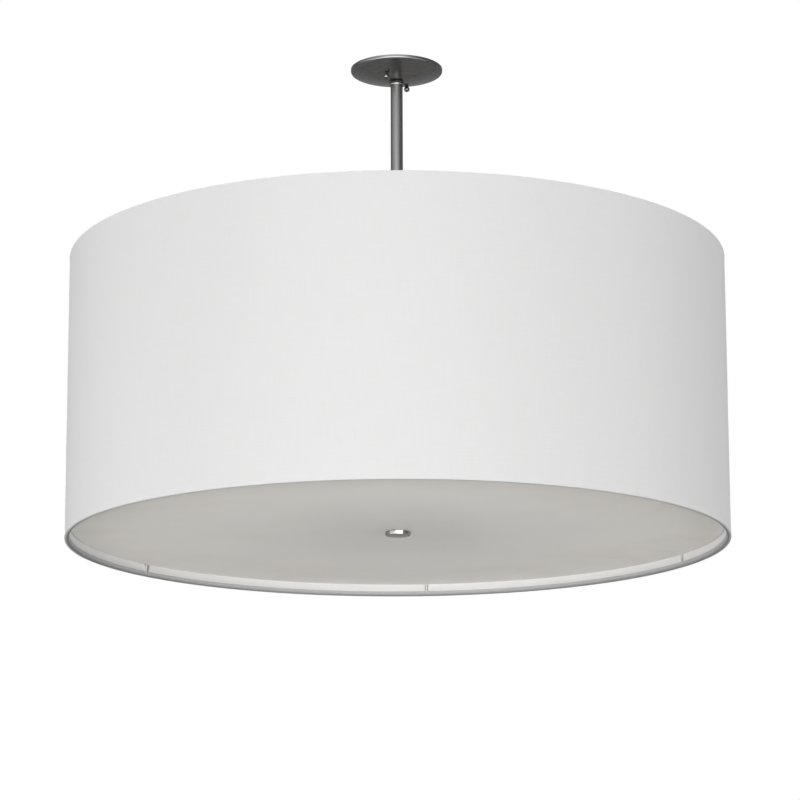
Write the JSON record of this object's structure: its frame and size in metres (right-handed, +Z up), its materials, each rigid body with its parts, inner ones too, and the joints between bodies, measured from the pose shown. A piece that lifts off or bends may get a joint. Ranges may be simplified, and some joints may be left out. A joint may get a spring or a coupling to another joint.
{
  "type": "drum pendant light",
  "caption": "Large round linen drum-shade pendant with an acrylic diffuser and faceted finial, hung on a rigid stem below a shallow round ceiling canopy.",
  "frame": {"origin": "on the stem's axis at the ceiling plane, in the crossbar's upper face", "axes": "+Z up, out of the crossbar into the ceiling; -Y faces the picture's camera and +X is to its right"},
  "size_m": [0.9144, 0.9144, 0.698],
  "materials": {
    "zinc_steel": "zinc-plated, dull bright",
    "green_screw": "green-dyed plating",
    "satin_nickel": "satin, dark nickel",
    "polished_nickel": "polished",
    "black_rubber": "matt",
    "white_enamel": "white powder coat",
    "white_linen": "plain linen weave, laminated",
    "styrene": "smooth white sheet",
    "opal_acrylic": "satin opal",
    "fibre": "vulcanised fibre",
    "porcelain": "glazed",
    "frosted_glass": "inside-frosted"
  },
  "bodies": {
    "ceiling": {"crossbar": "zinc_steel", "box_screw_near": "zinc_steel", "box_screw_far": "zinc_steel", "canopy_stud_near": "zinc_steel", "canopy_stud_far": "zinc_steel", "ground_screw": "green_screw", "nipple": "zinc_steel", "nipple_lock_nut": "zinc_steel", "swivel_housing": "zinc_steel"},
    "canopy": {"canopy": "satin_nickel", "stem_gasket": "black_rubber", "stem_collar": "polished_nickel"},
    "ball_nut_near": {"ball_nut_near": "polished_nickel"},
    "ball_nut_far": {"ball_nut_far": "polished_nickel"},
    "pendant": {"swivel_ball": "zinc_steel", "stem": "satin_nickel", "stem_foot": "satin_nickel", "centre_rod": "zinc_steel", "spider_washer": "white_enamel", "spider_arm_1": "white_enamel", "spider_arm_2": "white_enamel", "spider_arm_3": "white_enamel", "cluster_body": "white_enamel", "cluster_cover": "white_enamel", "cluster_lock_nut": "zinc_steel", "cover_lock_nut": "zinc_steel", "socket_1": "porcelain", "socket_2": "porcelain", "socket_3": "porcelain", "top_ring": "white_enamel", "bottom_ring": "white_enamel", "rib_1": "white_enamel", "rib_2": "white_enamel", "rib_3": "white_enamel", "rib_4": "white_enamel", "rib_5": "white_enamel", "rib_6": "white_enamel", "shade_liner": "styrene", "shade_cover": "white_linen", "diffuser_stop_nut": "zinc_steel"},
    "lamp_1": {"lamp_1": "frosted_glass"},
    "lamp_2": {"lamp_2": "frosted_glass"},
    "lamp_3": {"lamp_3": "frosted_glass"},
    "diffuser": {"diffuser": "opal_acrylic", "diffuser_washer": "fibre"},
    "finial": {"finial": "polished_nickel"}
  },
  "joints": [
    {"name": "stem_turn", "type": "hinge", "parent": "ceiling", "child": "pendant", "pos_m": [0, 0, -0.01319], "axis": [0, 0, 1], "range_deg": [-180, 180]},
    {"name": "canopy_lower", "type": "slide", "parent": "ceiling", "child": "canopy", "axis": [0, 0, -1], "range_m": [0, 0.25]},
    {"name": "ball_nut_near_turn", "type": "hinge", "parent": "canopy", "child": "ball_nut_near", "pos_m": [-0.01453, -0.02851, -0.02], "axis": [0, 0, 1], "continuous": true},
    {"name": "ball_nut_far_turn", "type": "hinge", "parent": "canopy", "child": "ball_nut_far", "pos_m": [0.01453, 0.02851, -0.02], "axis": [0, 0, 1], "continuous": true},
    {"name": "lamp_1_turn", "type": "hinge", "parent": "pendant", "child": "lamp_1", "pos_m": [0.03121, 0.01422, -0.35159], "axis": [0.91, 0.4147, 0], "continuous": true},
    {"name": "lamp_2_turn", "type": "hinge", "parent": "pendant", "child": "lamp_2", "pos_m": [-0.00329, -0.03414, -0.35159], "axis": [-0.0958, -0.9954, 0], "continuous": true},
    {"name": "lamp_3_turn", "type": "hinge", "parent": "pendant", "child": "lamp_3", "pos_m": [-0.02792, 0.01992, -0.35159], "axis": [-0.8141, 0.5807, 0], "continuous": true},
    {"name": "diffuser_lower", "type": "slide", "parent": "pendant", "child": "diffuser", "axis": [0, 0, -1], "range_m": [0, 0.006]},
    {"name": "finial_turn", "type": "hinge", "parent": "diffuser", "child": "finial", "pos_m": [0, 0, -0.6693], "axis": [0, 0, -1], "range_deg": [0, 2297]}
  ],
  "couplings": [
    {"joint": "finial_turn", "follows": "diffuser_lower", "rad_per_m": 6679}
  ]
}
